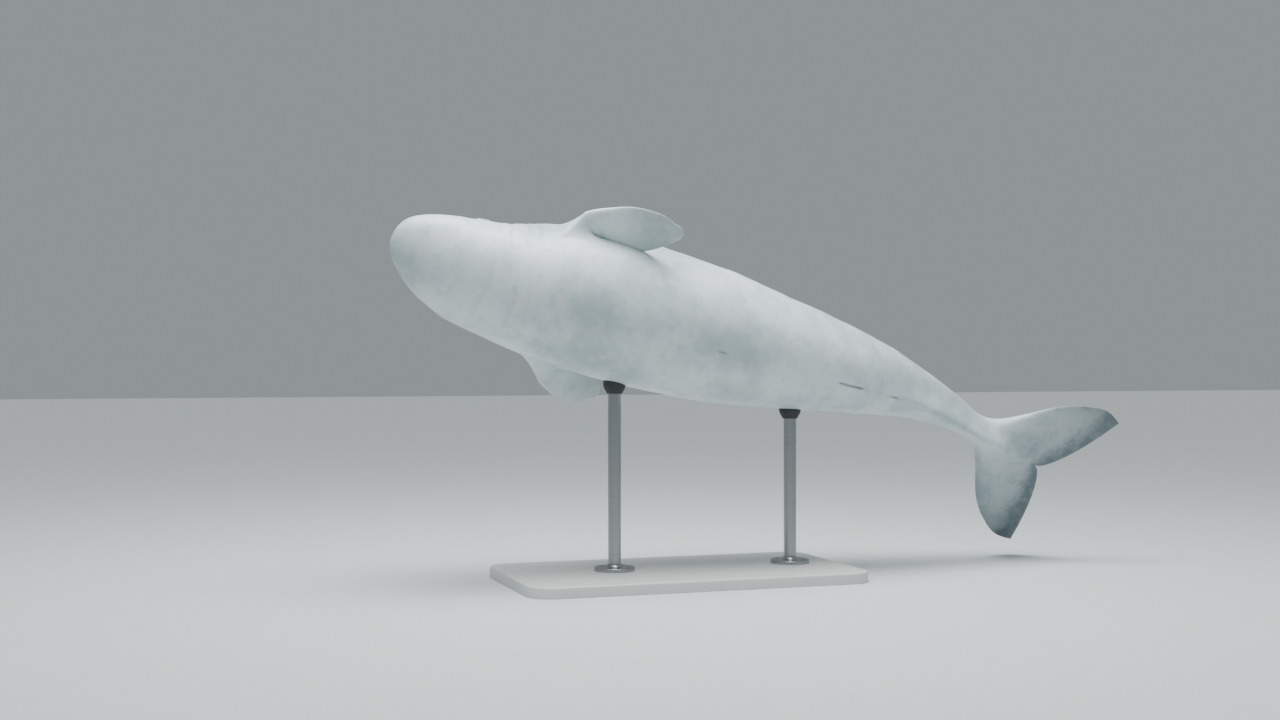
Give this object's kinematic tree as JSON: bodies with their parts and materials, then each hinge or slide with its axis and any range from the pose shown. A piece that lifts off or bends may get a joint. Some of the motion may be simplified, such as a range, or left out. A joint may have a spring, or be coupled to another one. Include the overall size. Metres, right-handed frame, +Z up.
{
  "type": "beluga whale",
  "caption": "Young beluga whale, life size, swimming on its side with the left flipper up, held over a flat base by two round rods.",
  "frame": {"origin": "centre of the underside of the stand's base, at floor level", "axes": "+X from the head towards the tail, +Z up; the belly faces -Y and the left side faces +Z"},
  "size_m": [2.9637, 0.7, 1.361],
  "materials": {
    "skin": "smooth wet whale skin, pale grey white",
    "fluke_skin": "smooth wet whale skin, darker grey",
    "eye": "wet, dark brown",
    "rod_metal": "brushed",
    "saddle_rubber": "matt black rubber",
    "base_board": "satin, off-white"
  },
  "bodies": {
    "root": {"head": "skin", "lower_jaw": "skin", "eye_left": "eye", "eye_right": "eye", "neck": "skin", "torso_front": "skin", "torso_middle": "skin", "torso_rear": "skin", "tail_front": "skin", "tail_stock": "skin", "fluke_left": "fluke_skin", "fluke_right": "fluke_skin", "flipper_left": "skin", "flipper_right": "skin", "stand_base": "base_board", "stand_rod_front": "rod_metal", "stand_rod_rear": "rod_metal", "stand_saddle_front": "saddle_rubber", "stand_saddle_rear": "saddle_rubber"}
  },
  "joints": []
}
